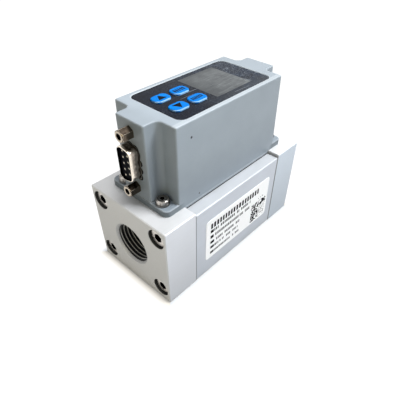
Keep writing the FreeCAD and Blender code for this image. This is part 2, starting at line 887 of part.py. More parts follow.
def jackscrews():
    """Hexagonal pillars with a chamfered, bored end; their shanks reach through to the nuts."""
    screws = []
    corner = jack_flats / math.sqrt(3.0)
    out = AXIS_X * -1
    for z in jack_places:
        foot = V(-boss_x, 0, z)
        body = hexagon_prism(jack_flats, foot, out, jack_length)
        shank = rod(jack_shank_radius, foot, AXIS_X, rear_x + jack_nut_height + jack_tip + boss_x)
        bore = rod(jack_bore_radius, foot + out * jack_length, AXIS_X, jack_bore_depth)
        cone = Part.makeCone(corner + jack_chamfer / 2, corner - jack_chamfer, jack_chamfer,
                             foot + out * (jack_length - jack_chamfer), out)
        body = body.common(cone.fuse(rod(jack_flats, foot, out, jack_length - jack_chamfer)))
        screws.append(body.cut(bore).fuse(shank).removeSplitter())
    return group(screws)


def jackscrew_nuts():
    nuts = []
    for z in jack_places:
        nut = hexagon_prism(jack_nut_flats, V(rear_x, 0, z), AXIS_X, jack_nut_height)
        hole = rod(jack_shank_radius + thread_clearance, V(rear_x, 0, z), AXIS_X, jack_nut_height)
        nuts.append(nut.cut(hole))
    return group(nuts)


# Inner boards and cable

def connector_board():
    low = connector_z - rear_height / 2
    high = board_bottom - link_board_gap
    half = link_board_width / 2
    return block(rear_end, rear_end + board_thickness, -half, half, low, high)


def board_header():
    """A row of pins that joins the socket's board to the main board."""
    x0 = rear_end + board_thickness
    high = board_bottom - link_board_gap
    x = x0 + header_height / 2
    length = header_pins * header_pitch
    half = header_pin / 2
    shape = block(x0, x0 + header_height, -length / 2, length / 2, high - header_height, high)
    for k in range(header_pins):
        y = (k - (header_pins - 1) / 2.0) * header_pitch
        shape = shape.fuse(block(x - half, x + half, y - half, y + half, high, board_bottom))
    return shape


def ribbon_ends():
    low_x = sensor_screw_x - sensor_screw_head_radius - socket_length / 2 - socket_gap
    return low_x, low_x + ribbon_step


def ribbon_sockets():
    low_x, high_x = ribbon_ends()
    low = block(low_x - socket_length / 2, low_x + socket_length / 2, -socket_width / 2, socket_width / 2,
                sensor_board_top, sensor_board_top + socket_height)
    high = block(high_x - socket_length / 2, high_x + socket_length / 2, -socket_width / 2, socket_width / 2,
                 board_bottom - socket_height, board_bottom)
    return group([low, high])


def ribbon_cable():
    """A flat cable that rises in two equal arcs, upright at both ends."""
    low_x, high_x = ribbon_ends()
    z0 = sensor_board_top + socket_height
    z1 = board_bottom - socket_height
    step = high_x - low_x
    rise = z1 - z0
    radius = (step * step + rise * rise) / (4.0 * step)
    half_turn = math.asin(rise / 2.0 / radius)
    edges = []
    ends = []
    for offset in (-ribbon_thickness / 2, ribbon_thickness / 2):
        first = radius - offset
        second = radius + offset
        low = [V(low_x + radius - first * math.cos(a), 0, z0 + first * math.sin(a))
               for a in (0.0, half_turn / 2, half_turn)]
        high = [V(high_x - radius + second * math.cos(a), 0, z1 - second * math.sin(a))
                for a in (half_turn, half_turn / 2, 0.0)]
        edges.append(Part.Arc(*low).toShape())
        edges.append(Part.Arc(*high).toShape())
        ends.append((low[0], high[2]))
    edges.append(Part.makeLine(ends[0][0], ends[1][0]))
    edges.append(Part.makeLine(ends[0][1], ends[1][1]))
    wire = Part.Wire(Part.__sortEdges__(edges))
    strip = Part.Face(wire).extrude(V(0, ribbon_width, 0))
    strip.translate(V(0, -ribbon_width / 2, 0))
    return strip


parts = {
    "inlet_block": port_block(-1),
    "outlet_block": port_block(1),
    "body_block": body_block(),
    "inlet_screws": end_screws(-1),
    "outlet_screws": end_screws(1),
    "inlet_o_ring": face_o_ring(-1),
    "outlet_o_ring": face_o_ring(1),
    "inlet_ring": insert_ring(-1),
    "outlet_ring": insert_ring(1),
    "inlet_screen": screen(-1),
    "outlet_screen": screen(1),
    "flow_straightener": flow_straightener(),
    "sensor_carrier": sensor_carrier(),
    "sensor_o_ring": sensor_o_ring(),
    "sensor_chip": sensor_chip(),
    "sensor_board": sensor_board(),
    "sensor_screws": sensor_screws(),
    "rating_label": rating_label(),
    "housing": housing(),
    "housing_screws": housing_screws(),
    "housing_washers": housing_washers(),
    "side_seals": side_seals(),
    "keypad_overlay": keypad_overlay(),
    "display_window": display_window(),
    "lcd_glass": lcd_glass(),
    "lcd_frame": lcd_frame(),
    "main_board": main_board(),
    "board_screws": board_screws(),
    "key_switches": key_switches(),
    "connector_shell": connector_shell(),
    "connector_insulator": connector_insulator(),
    "connector_contacts": connector_contacts(),
    "connector_rear_shell": connector_rear_shell(),
    "jackscrews": jackscrews(),
    "jackscrew_nuts": jackscrew_nuts(),
    "connector_board": connector_board(),
    "board_header": board_header(),
    "ribbon_sockets": ribbon_sockets(),
    "ribbon_cable": ribbon_cable(),
}
for key_name, (key_x, key_y) in key_places.items():
    parts[key_name] = key_cap(key_x, key_y)
    parts[key_name + "_plunger"] = switch_plunger(key_x, key_y)

os.makedirs("parts", exist_ok=True)
for node, shape in parts.items():
    shape.exportStep("parts/" + node + ".step")
    print(node, len(shape.Solids), shape.isValid(), round(shape.Volume, 2))
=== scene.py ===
import bpy
import json
import math
import random
from functools import reduce
from mathutils import Matrix, Vector


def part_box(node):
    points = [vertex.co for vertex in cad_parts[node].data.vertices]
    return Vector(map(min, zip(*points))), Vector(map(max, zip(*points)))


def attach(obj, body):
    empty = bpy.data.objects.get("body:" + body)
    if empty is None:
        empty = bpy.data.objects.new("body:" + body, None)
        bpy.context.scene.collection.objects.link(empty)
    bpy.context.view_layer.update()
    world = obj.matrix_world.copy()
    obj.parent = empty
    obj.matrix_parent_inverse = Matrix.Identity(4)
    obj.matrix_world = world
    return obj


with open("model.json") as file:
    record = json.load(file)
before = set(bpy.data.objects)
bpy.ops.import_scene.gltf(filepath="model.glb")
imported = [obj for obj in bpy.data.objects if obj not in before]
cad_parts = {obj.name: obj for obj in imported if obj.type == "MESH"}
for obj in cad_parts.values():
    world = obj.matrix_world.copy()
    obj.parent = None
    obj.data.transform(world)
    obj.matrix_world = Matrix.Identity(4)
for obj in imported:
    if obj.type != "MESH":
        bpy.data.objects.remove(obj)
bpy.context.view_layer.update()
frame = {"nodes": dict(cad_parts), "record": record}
nodes = frame["nodes"]
mm = 0.001
print("frame loaded:", len(nodes), "nodes")


# Small helpers for node materials

helpers = dict(
    broad=(0.3, 0.7), firm=(0.35, 0.65),  # the part of a noise's range that becomes 0 to 1
    rimSamples=4, rimTurn=(0.985, 0.86),  # cosine between a face's direction and the rounded one
    strokeEnds=0.6, strokeSides=0.3,  # the full part of a stroke's half length and half width
    coatRoughness=0.1)
black, white = (0.0, 0.0, 0.0), (1.0, 1.0, 1.0)


def newMaterial(name, metallic=0.0, coat=0.0, level=0.5):
    material = bpy.data.materials.new(name)
    material.use_nodes = True
    tree = material.node_tree
    shader = tree.nodes["Principled BSDF"]
    shader.inputs["Metallic"].default_value = metallic
    shader.inputs["Coat Weight"].default_value = coat
    shader.inputs["Coat Roughness"].default_value = helpers["coatRoughness"]
    shader.inputs["Specular IOR Level"].default_value = level
    return material, tree


def feed(tree, socket, value):  # links the socket or sets it, and gives a colour its alpha
    if isinstance(value, bpy.types.NodeSocket):
        tree.links.new(value, socket)
    else:
        socket.default_value = (*value, 1.0) if socket.type == "RGBA" else value


def addNode(tree, kind, inputs=None, **settings):
    made = tree.nodes.new(kind)
    for key, value in settings.items():
        setattr(made, key, value)
    for key, value in (inputs or {}).items():
        feed(tree, made.inputs[key], value)
    return made


def place(tree, stretch=(1, 1, 1), turn=(0, 0, 0)):  # object coordinates in millimetres
    where = addNode(tree, "ShaderNodeTexCoord").outputs["Object"]
    scale = [1.0 / (mm * share) for share in stretch]
    return addNode(tree, "ShaderNodeMapping", {"Vector": where, "Rotation": turn, "Scale": scale}).outputs["Vector"]


def facing(tree):  # the direction that a face looks in
    return addNode(tree, "ShaderNodeTexCoord").outputs["Normal"]


def axesOf(tree, where):
    return addNode(tree, "ShaderNodeSeparateXYZ", {"Vector": where}).outputs[:]


def noise(tree, where, size, detail=2.0, rough=0.5):  # size in millimetres
    made = addNode(tree, "ShaderNodeTexNoise", {"Vector": where, "Scale": 1.0 / size, "Detail": detail,
                                                 "Roughness": rough})
    return made.outputs["Fac"]


def cells(tree, where, size, feature="F1"):
    made = addNode(tree, "ShaderNodeTexVoronoi", {"Vector": where, "Scale": 1.0 / size}, feature=feature)
    return made.outputs["Distance"]


def spread(tree, value, low, high, first=0.0, last=1.0):  # low..high becomes first..last, and stops there
    made = addNode(tree, "ShaderNodeMapRange", {"Value": value, "From Min": low, "From Max": high,
                                                 "To Min": first, "To Max": last})
    return made.outputs["Result"]


def maths(tree, kind, a, b=0.0):
    return addNode(tree, "ShaderNodeMath", {0: a, 1: b}, operation=kind).outputs[0]


def times(tree, *values):
    return reduce(lambda a, b: maths(tree, "MULTIPLY", a, b), values)


def largest(tree, *values):
    return reduce(lambda a, b: maths(tree, "MAXIMUM", a, b), values)


def smallest(tree, *values):
    return reduce(lambda a, b: maths(tree, "MINIMUM", a, b), values)


def plus(tree, a, b):
    return maths(tree, "ADD", a, b)


def minus(tree, a, b):
    return maths(tree, "SUBTRACT", a, b)


def positive(tree, a):
    return maths(tree, "ABSOLUTE", a)


def lengthOf(tree, a, b):
    return maths(tree, "SQRT", plus(tree, times(tree, a, a), times(tree, b, b)))


def mixed(tree, first, second, share):  # two tones, with this share of the second
    return plus(tree, times(tree, first, 1.0 - share), times(tree, second, share))


def blendColours(tree, share, first, second, kind="MIX"):
    made = addNode(tree, "ShaderNodeMix", {0: share, 6: first, 7: second}, data_type="RGBA", blend_type=kind,
                   clamp_factor=True)
    return made.outputs[2]


def cover(tree, made, tone, *shares):  # lays a tone over, as strongly as the product of the shares
    return blendColours(tree, times(tree, *shares), made, tone)


def tint(tree, made, tone, *shares):  # multiplies by a tone, as strongly as the product of the shares
    return cover(tree, made, blendColours(tree, 1.0, made, tone, "MULTIPLY"), *shares)


def near(tree, where, spot, radius, edge=0.3):  # 1 within radius of spot, 0 outside; millimetres
    away = addNode(tree, "ShaderNodeVectorMath", {0: where, 1: spot}, operation="DISTANCE").outputs["Value"]
    return spread(tree, away, radius * (1 + edge), radius * (1 - edge))


def stroke(tree, x, y, a, b, half):  # 1 on the line from a to b, 0 off it; millimetres
    length = math.hypot(b[0] - a[0], b[1] - a[1])
    c, d = (b[0] - a[0]) / length, (b[1] - a[1]) / length
    midX, midY = (a[0] + b[0]) / 2, (a[1] + b[1]) / 2
    along = plus(tree, times(tree, x, c), times(tree, y, d))
    across = minus(tree, times(tree, y, c), times(tree, x, d))
    along = positive(tree, minus(tree, along, midX * c + midY * d))
    across = positive(tree, minus(tree, across, midY * c - midX * d))
    return times(tree, spread(tree, along, length / 2, length / 2 * helpers["strokeEnds"]),
                 spread(tree, across, half, half * helpers["strokeSides"]))


def rimMask(tree, reach):  # 1 on outer edges, 0 on flat faces; reach in millimetres
    rounded = addNode(tree, "ShaderNodeBevel", {"Radius": reach * mm}, samples=helpers["rimSamples"]).outputs["Normal"]
    flat = addNode(tree, "ShaderNodeNewGeometry").outputs["Normal"]
    made = addNode(tree, "ShaderNodeVectorMath", {0: rounded, 1: flat}, operation="DOT_PRODUCT")
    return spread(tree, made.outputs["Value"], *helpers["rimTurn"])


def dress(material, colour, roughTone, rough, height, depth):  # a bump's depth is in millimetres
    tree = material.node_tree
    shader = tree.nodes["Principled BSDF"]
    feed(tree, shader.inputs["Base Color"], colour)
    feed(tree, shader.inputs["Roughness"], spread(tree, roughTone, *helpers["broad"], *rough))
    made = addNode(tree, "ShaderNodeBump", {"Height": height, "Strength": 1.0, "Distance": depth * mm})
    feed(tree, shader.inputs["Normal"], made.outputs["Normal"])
    return material


# Materials. A noise is its size in millimetres and its detail. A mark's pair of numbers says where the mark
# begins and where it is full: a place in millimetres, or a part of a face's direction.

aluminium = dict(
    base=(0.625, 0.63, 0.64), dark=(0.575, 0.58, 0.585), paler=(0.80, 0.80, 0.80), bored=(0.045, 0.047, 0.043),
    root=(0.008, 0.008, 0.008), crest=(0.60, 0.60, 0.57), seamAndShade=(0.10, 0.105, 0.11), slit=(0.02, 0.022, 0.022),
    middle=(0.89, 0.915, 0.945), warm=(1.0, 0.985, 0.945), cool=(1.06, 1.085, 1.14), distant=(0.82, 0.88, 0.92),
    upper=1.12, lowShare=0.16, rimReach=0.3, rimShare=0.6, jointShare=0.65, footShare=0.7, mouthShare=0.35,
    metallic=0.3, rough=(0.42, 0.56), cloud=(14.0, 3.0), drawn=(0.5, 2.0), drawnStretch=(40, 1, 1), drawnShare=0.4,
    fine=(0.25, 2.0), grain=0.014)
blocks = dict(
    end=48.0, halfWidth=24.0, axisZ=22.5, middleX=(30.0, 29.95), turned=(0.6, 0.9), liftZ=(12.0, 42.0),
    highZ=(4.0, 6.0), distantX=(29.9, 30.2), lowZ=(38.0, 4.0), joint=30.1, jointReach=(0.42, 0.25),
    footZ=(0.55, 0.25), portRadius=(11.0, 10.8), boreX=(46.9, 46.75), mouthX=(47.98, 47.92),
    ridgeRadius=(9.52, 9.38), screwY=18.25, screwZ=15.6, screwRadius=(4.85, 4.65), screwInner=(40.0, 41.0),
    screwOuter=(47.9, 47.7), slitZ=(42.3, 42.4), slitY=(17.70, 17.64))


def blockAluminium():
    material, tree = newMaterial("blockAluminium", metallic=aluminium["metallic"])
    where = place(tree)
    x, y, z = axesOf(tree, where)
    along, height = positive(tree, x), minus(tree, z, blocks["axisZ"])
    faceX, faceY = axesOf(tree, facing(tree))[:2]
    endwise = spread(tree, positive(tree, faceX), *blocks["turned"])
    sidewise = spread(tree, positive(tree, faceY), *blocks["turned"])
    drawn = noise(tree, place(tree, stretch=aluminium["drawnStretch"]), *aluminium["drawn"])  # lines along the flow
    tone = mixed(tree, noise(tree, where, *aluminium["cloud"]), drawn, aluminium["drawnShare"])
    made = blendColours(tree, spread(tree, tone, *helpers["firm"]), aluminium["dark"], aluminium["base"])
    # paler edges: painted highlight along the rounded edges, with some wear
    made = cover(tree, made, aluminium["paler"], rimMask(tree, aluminium["rimReach"]), aluminium["rimShare"])
    middle = spread(tree, along, *blocks["middleX"])
    made = tint(tree, made, aluminium["middle"], middle)
    # painted light: the end blocks lighter towards the top, end faces warmer, side faces brighter and bluer, the far
    # block's sides darker, and side faces darker towards the bottom
    lift = spread(tree, z, *blocks["liftZ"], 1.0, aluminium["upper"])
    made = tint(tree, made, lift, minus(tree, 1.0, middle), spread(tree, z, *blocks["highZ"]))
    made = tint(tree, made, aluminium["warm"], endwise)
    made = tint(tree, made, aluminium["cool"], sidewise)
    made = tint(tree, made, aluminium["distant"], sidewise, spread(tree, x, *blocks["distantX"]))
    made = cover(tree, made, black, sidewise, spread(tree, z, *blocks["lowZ"], 0.0, aluminium["lowShare"]))
    # dark seams at the block joints, and painted shade on the bottom edge and inside the port
    joint = spread(tree, positive(tree, minus(tree, along, blocks["joint"])), *blocks["jointReach"])
    foot = spread(tree, z, *blocks["footZ"])
    seamAndShade = largest(tree, times(tree, joint, aluminium["jointShare"]), times(tree, foot, aluminium["footShare"]))
    made = cover(tree, made, aluminium["seamAndShade"], seamAndShade)
    radius = lengthOf(tree, y, height)
    port = spread(tree, radius, *blocks["portRadius"])
    made = cover(tree, made, aluminium["seamAndShade"], port, spread(tree, along, *blocks["mouthX"]), aluminium["mouthShare"])
    # painted shade deep in the port: the thread's roots near black, its crests lighter
    cut = blendColours(tree, spread(tree, radius, *blocks["ridgeRadius"]), aluminium["root"], aluminium["crest"])
    made = cover(tree, made, cut, port, spread(tree, along, *blocks["boreX"]))
    # painted shade inside the screw counterbores
    screw = lengthOf(tree, minus(tree, positive(tree, y), blocks["screwY"]),
                     minus(tree, positive(tree, height), blocks["screwZ"]))
    made = cover(tree, made, aluminium["bored"], spread(tree, screw, *blocks["screwRadius"]),
                 spread(tree, along, *blocks["screwInner"]), spread(tree, along, *blocks["screwOuter"]))
    # painted shade: the middle block's top under the housing near black
    made = cover(tree, made, aluminium["slit"], middle, spread(tree, z, *blocks["slitZ"]),
                 spread(tree, positive(tree, y), *blocks["slitY"]))
    fine = noise(tree, where, *aluminium["fine"])
    return dress(material, made, tone, aluminium["rough"], fine, aluminium["grain"])


paint = dict(
    base=(0.290, 0.333, 0.372), pale=(0.322, 0.367, 0.405), paler=(0.66, 0.70, 0.72), low=(0.70, 0.72, 0.745),
    flange=(0.60, 0.62, 0.61), upperLight=(1.13, 1.13, 1.13), speck=(0.02, 0.022, 0.025),
    level=0.4, rough=(0.36, 0.48), cloud=(11.0, 4.0), grain=(0.35, 2.0), grainShare=0.3, peel=(0.6, 3.0), depth=0.02,
    rimReach=0.7, rimShare=0.9, lowShare=0.75, brinkShare=0.30,
    earX=(30.0, 33.0), footZ=(47.4, 46.9), lowZ=(66.0, 44.0), flangeZ=(46.75, 46.5), upperLightZ=(60.0, 80.0),
    upperLightX=(10.0, -30.0), bossX=(-36.0, -31.0), brinkZ=(81.2, 81.4), brinkY=(-14.6, -15.2),
    specks=((-25.4, -17.25, 74.8, 0.5), (-21.4, -17.6, 46.4, 0.4)))  # two dark specks: place and radius


def housingPaint():
    material, tree = newMaterial("housingPaint", level=paint["level"])
    where = place(tree)
    x, y, z = axesOf(tree, where)
    ears = spread(tree, positive(tree, x), *paint["earX"])
    tone = mixed(tree, noise(tree, where, *paint["cloud"]), noise(tree, where, *paint["grain"]), paint["grainShare"])
    made = blendColours(tree, spread(tree, tone, *helpers["firm"]), paint["base"], paint["pale"])
    # paler edges: painted highlight along the rounded edges, with some wear
    made = cover(tree, made, paint["paler"], rimMask(tree, paint["rimReach"]), paint["rimShare"])
    # painted shade: the ears' tops and the wall darker towards the bottom, the flange's sides darker still
    foot = times(tree, spread(tree, z, *paint["footZ"]), ears)
    foot = largest(tree, foot, spread(tree, z, *paint["lowZ"], 0.0, paint["lowShare"]))
    made = tint(tree, made, paint["low"], foot)
    made = tint(tree, made, paint["flange"], spread(tree, z, *paint["flangeZ"]), ears)
    # painted light: the upper part lighter towards the connector end, short of the boss
    made = tint(tree, made, paint["upperLight"], spread(tree, z, *paint["upperLightZ"]), spread(tree, x, *paint["upperLightX"]),
                spread(tree, x, *paint["bossX"]))
    # painted highlight: the top's strip beside the panel on the -Y side paler
    made = cover(tree, made, paint["paler"], spread(tree, z, *paint["brinkZ"]), spread(tree, y, *paint["brinkY"]),
                 paint["brinkShare"])
    for *spot, radius in paint["specks"]:
        made = cover(tree, made, paint["speck"], near(tree, where, spot, radius))
    return dress(material, made, tone, paint["rough"], noise(tree, where, *paint["peel"]), paint["depth"])


heads = dict(endFaceX=(46.75, 46.65), endStartX=(41.0, 41.2), earX=37.35, earY=11.825, earFaceZ=(49.75, 49.65),
             earRadius=(1.4, 1.25))


def headHollows(tree):  # 1 in the screw heads' hexagon holes, where shade is painted
    x, y, z = axesOf(tree, place(tree))
    x, y = positive(tree, x), positive(tree, y)
    end = times(tree, spread(tree, x, *heads["endFaceX"]), spread(tree, x, *heads["endStartX"]))
    away = lengthOf(tree, minus(tree, x, heads["earX"]), minus(tree, y, heads["earY"]))
    ear = times(tree, spread(tree, z, *heads["earFaceZ"]), spread(tree, away, *heads["earRadius"]))
    return largest(tree, end, ear)


machined = dict(lineDetail=3.0, lineShare=0.2, depth=0.01, facetDetail=1.0, turned=(0.38, 0.62), endwise=(0.90, 0.97))
steels = {  # facets gives each face direction its own tone, a painted reflection; the nickel's dark tones stand in for dark reflections too
    "screw_steel": dict(name="screwSteel", base=(0.64, 0.60, 0.555), dark=(0.13, 0.12, 0.11), rough=(0.20, 0.36),
                        size=1.2, facets=0.7, rim=(0.92, 0.88, 0.82), ends=(0.62, 0.58, 0.53),
                        hollows=(0.030, 0.022, 0.017)),
    "washer_steel": dict(name="washerSteel", base=(0.20, 0.20, 0.20), dark=(0.10, 0.10, 0.10), rough=(0.35, 0.5)),
    "nickel_plate": dict(name="nickelPlate", base=(0.23, 0.19, 0.15), dark=(0.050, 0.036, 0.026), rough=(0.14, 0.26),
                         streak=(1.5, 1.5, 0.8), size=1.6, facets=0.6, rim=(0.96, 0.86, 0.72), rimReach=0.18,
                         ends=(0.50, 0.43, 0.34)),
    "contact_gold": dict(name="contactGold", base=(0.020, 0.017, 0.012), dark=(0.010, 0.008, 0.006),
                         rough=(0.3, 0.45)),
    "screen_steel": dict(name="screenSteel", base=(0.55, 0.55, 0.54), dark=(0.36, 0.36, 0.36), rough=(0.3, 0.45)),
    "insert_aluminium": dict(name="insertAluminium", base=(0.7, 0.7, 0.71), dark=(0.5, 0.5, 0.52),
                             rough=(0.32, 0.45)),
}


def machinedSteel(name, base, dark, rough, streak=(6, 6, 0.6), size=0.5, facets=None, rim=None, rimReach=0.25,
                  ends=None, hollows=None):
    material, tree = newMaterial(name, metallic=1.0)
    lines = noise(tree, place(tree, stretch=streak), size, machined["lineDetail"])
    tone = spread(tree, lines, *helpers["broad"])
    # painted reflection: each face direction gets its own tone
    if facets:
        turned = noise(tree, facing(tree), facets, machined["facetDetail"])
        tone = mixed(tree, spread(tree, turned, *machined["turned"]), tone, machined["lineShare"])
    made = blendColours(tree, tone, dark, base)
    # painted light: faces along X take their own lighter tone
    if ends:
        endwise = positive(tree, axesOf(tree, facing(tree))[0])
        made = cover(tree, made, ends, spread(tree, endwise, *machined["endwise"]))
    # painted highlight along the edges
    if rim:
        made = cover(tree, made, rim, rimMask(tree, rimReach))
    # painted shade in the hexagon holes
    if hollows:
        made = cover(tree, made, hollows, headHollows(tree))
    return dress(material, made, lines, rough, lines, machined["depth"])


shellNickel = dict(
    lip=(0.95, 0.86, 0.74), side=(0.27, 0.235, 0.205), top=(0.085, 0.060, 0.042), inner=(0.004, 0.004, 0.005),
    rough=(0.14, 0.24), cloud=(1.4, 2.0), cloudSpan=(0.4, 0.7), cloudShare=0.3, depth=0.01, middleZ=64.0,
    upward=(0.25, 0.85), lipX=(-43.5, -44.2), lipFacing=(0.5, 0.1), shadedX=(-44.1, -44.5), shadedY=(2.9, 3.3),
    bottomY=(-2.8, -2.2), bottomZ=(57.0, 56.4), inward=(-0.2, -1.0))


def socketNickel():  # the pressed shell: painted highlight on the lip, a painted dark reflection on the top wall, and painted shade inside and in the lip's own shade
    material, tree = newMaterial("socketNickel", metallic=1.0)
    where = place(tree)
    x, y, z = axesOf(tree, where)
    faceY, faceZ = axesOf(tree, facing(tree))[1:]
    cloud = noise(tree, where, *shellNickel["cloud"])
    # painted reflection: the top wall darker than the side walls
    made = blendColours(tree, spread(tree, faceZ, *shellNickel["upward"]), shellNickel["side"], shellNickel["top"])
    made = cover(tree, made, shellNickel["lip"], spread(tree, cloud, *shellNickel["cloudSpan"]),
                 shellNickel["cloudShare"])
    # painted highlight on the lip
    made = cover(tree, made, shellNickel["lip"], spread(tree, x, *shellNickel["lipX"]),
                 spread(tree, faceY, *shellNickel["lipFacing"]))
    # painted shade inside the shell behind the lip and on the faces turned inwards
    bottom = times(tree, spread(tree, z, *shellNickel["bottomZ"]), spread(tree, y, *shellNickel["bottomY"]))
    shaded = largest(tree, spread(tree, y, *shellNickel["shadedY"]), bottom)
    made = cover(tree, made, shellNickel["inner"], shaded, spread(tree, x, *shellNickel["shadedX"]))
    outward = plus(tree, times(tree, faceY, y), times(tree, faceZ, minus(tree, z, shellNickel["middleZ"])))
    made = cover(tree, made, shellNickel["inner"], spread(tree, outward, *shellNickel["inward"]))
    return dress(material, made, cloud, shellNickel["rough"], cloud, shellNickel["depth"])


moulded = dict(fine=(0.3, 2.0), cloud=(3.6, 3.0), depth=0.01)
plastics = {
    "socket_black": dict(name="socketBlack", base=(0.002, 0.002, 0.004), pale=(0.005, 0.005, 0.009),
                         rough=(0.45, 0.6), level=0.02),
    "display_grey": dict(name="displayGrey", base=(0.15, 0.16, 0.155), pale=(0.2, 0.21, 0.2), rough=(0.2, 0.3)),
    "frame_black": dict(name="frameBlack", base=(0.02, 0.02, 0.02), pale=(0.035, 0.035, 0.035), rough=(0.4, 0.55)),
    "switch_black": dict(name="switchBlack", base=(0.02, 0.02, 0.022), pale=(0.035, 0.035, 0.04), rough=(0.35, 0.5)),
    "seal_rubber": dict(name="sealRubber", base=(0.012, 0.012, 0.012), pale=(0.022, 0.022, 0.022), rough=(0.6, 0.75)),
    "carrier_plastic": dict(name="carrierPlastic", base=(0.03, 0.03, 0.032), pale=(0.05, 0.05, 0.055),
                            rough=(0.45, 0.6)),
    "chip_silicon": dict(name="chipSilicon", base=(0.05, 0.055, 0.07), pale=(0.09, 0.1, 0.12), rough=(0.12, 0.2)),
    "cable_grey": dict(name="cableGrey", base=(0.25, 0.25, 0.26), pale=(0.33, 0.33, 0.34), rough=(0.4, 0.55)),
}


def mouldedPlastic(name, base, pale, rough, level=0.5):
    material, tree = newMaterial(name, level=level)
    where = place(tree)
    fine = noise(tree, where, *moulded["fine"])
    cloud = noise(tree, where, *moulded["cloud"])
    made = blendColours(tree, spread(tree, cloud, *helpers["broad"]), base, pale)
    return dress(material, made, fine, rough, fine, moulded["depth"])


panel = dict(
    base=(0.0005, 0.0015, 0.006), pale=(0.003, 0.005, 0.012), farPale=(0.012, 0.021, 0.040), brim=(0.045, 0.052, 0.062),
    grit=(0.050, 0.060, 0.070), speck=(0.27, 0.30, 0.34), level=0.05, rough=(0.18, 0.30), depth=0.008, face=81.3,
    cloud=(5.0, 4.0, 0.6), cloudSpan=(0.35, 0.7), farPaleSpan=(0.35, 0.6), farX=(-16.0, 30.0), farShares=(0.15, 1.0),
    gritNoise=(0.7, 4.0, 0.7), gritSpan=(0.50, 0.62), gritX=(-20.0, -4.0), gritShares=(0.25, 1.0), gritShare=0.5,
    dust=(0.42, 2.0), dustSpan=(0.56, 0.68), dots=1.25, dotSpan=(0.17, 0.07), dotShare=0.16,
    hair=(0.5, 2.0), hairStretch=(9, 0.6, 1), hairTurn=(0, 0, 0.5), hairSpan=(0.64, 0.72),
    brimX=(-14.0, 4.0), brimY=(-7.5, -13.0), brimShare=0.55, farWear=0.24, dusty=(22.3, 3.6, 8.5), dustyEdge=0.7,
    dustyWear=0.34, smudge=((16.9, -2.8), (19.4, -11.0), 0.7), smudgeSpan=(0.35, 0.6), smudgeShare=0.8,
    scratches=(((-15.1, 1.1), (-2.4, 0.4), 0.16), ((-16.0, -1.6), (-8.0, -1.9), 0.10),
               ((4.0, -12.6), (15.0, -13.2), 0.12)), scratchShare=0.7)


def panelFilm():  # a black plate, paler and bluer towards the far end, with dust, hairs and scratches, more of them towards the far end
    material, tree = newMaterial("panelFilm", level=panel["level"])
    where = place(tree)
    x, y = axesOf(tree, where)[:2]
    cloud = noise(tree, where, *panel["cloud"])
    dust = noise(tree, where, *panel["dust"])
    dots = spread(tree, cells(tree, where, panel["dots"]), *panel["dotSpan"])
    hair = noise(tree, place(tree, stretch=panel["hairStretch"], turn=panel["hairTurn"]), *panel["hair"])
    made = blendColours(tree, spread(tree, cloud, *panel["cloudSpan"]), panel["base"], panel["pale"])
    far = spread(tree, x, *panel["farX"], *panel["farShares"])
    made = cover(tree, made, panel["farPale"], far, spread(tree, cloud, *panel["farPaleSpan"]))
    grit = spread(tree, noise(tree, where, *panel["gritNoise"]), *panel["gritSpan"])
    made = cover(tree, made, panel["grit"], grit, spread(tree, x, *panel["gritX"], *panel["gritShares"]),
                 panel["gritShare"])
    dustyX, dustyY, dustyReach = panel["dusty"]
    dusty = near(tree, where, (dustyX, dustyY, panel["face"]), dustyReach, panel["dustyEdge"])
    paler = plus(tree, times(tree, far, panel["farWear"]), times(tree, dusty, panel["dustyWear"]))
    made = cover(tree, made, panel["brim"], spread(tree, y, *panel["brimY"]), spread(tree, x, *panel["brimX"]),
                 panel["brimShare"])
    made = cover(tree, made, panel["speck"], spread(tree, dust, *panel["dustSpan"]), paler)
    made = cover(tree, made, panel["speck"], dots, plus(tree, paler, panel["dotShare"]))
    made = cover(tree, made, panel["speck"], spread(tree, hair, *panel["hairSpan"]), paler)
    made = cover(tree, made, panel["speck"], stroke(tree, x, y, *panel["smudge"]),
                 spread(tree, dust, *panel["smudgeSpan"]), panel["smudgeShare"])
    for scratch in panel["scratches"]:
        made = cover(tree, made, panel["speck"], stroke(tree, x, y, *scratch), panel["scratchShare"])
    return dress(material, made, cloud, panel["rough"], dust, panel["depth"])


display = dict(
    base=(0.052, 0.058, 0.062), pale=(0.104, 0.113, 0.116), shade=(0.026, 0.031, 0.035), streak=(0.215, 0.23, 0.235),
    level=0.2, rough=(0.26, 0.42), depth=0.006, cloud=(6.0, 3.0), fine=(0.3, 2.0), streaks=(0.45, 3.0),
    streakStretch=(10, 1, 1), streakTurn=(0, 0, -0.35), streakSpan=(0.50, 0.72), streakShare=0.55,
    fadeX=(6.0, -4.5), fadeY=(6.0, 13.5), fadeShare=0.8, smudge=((16.0, -2.5), (18.2, -10.6), 0.9),
    smudgeSpan=(0.4, 0.6))


def displayWindow():
    material, tree = newMaterial("displayWindow", level=display["level"])
    where = place(tree)
    x, y = axesOf(tree, where)[:2]
    cloud = noise(tree, where, *display["cloud"])
    streaks = noise(tree, place(tree, stretch=display["streakStretch"], turn=display["streakTurn"]),
                    *display["streaks"])
    made = blendColours(tree, spread(tree, cloud, *helpers["broad"]), display["base"], display["pale"])
    made = cover(tree, made, display["streak"],
                 spread(tree, streaks, *display["streakSpan"], 0.0, display["streakShare"]))
    # the window turns darker towards -X and towards +Y
    darker = largest(tree, spread(tree, x, *display["fadeX"]), spread(tree, y, *display["fadeY"]))
    made = cover(tree, made, display["shade"], darker, display["fadeShare"])
    made = cover(tree, made, display["streak"], stroke(tree, x, y, *display["smudge"]),
                 spread(tree, streaks, *display["smudgeSpan"]))
    return dress(material, made, noise(tree, where, *display["fine"]), display["rough"], streaks, display["depth"])


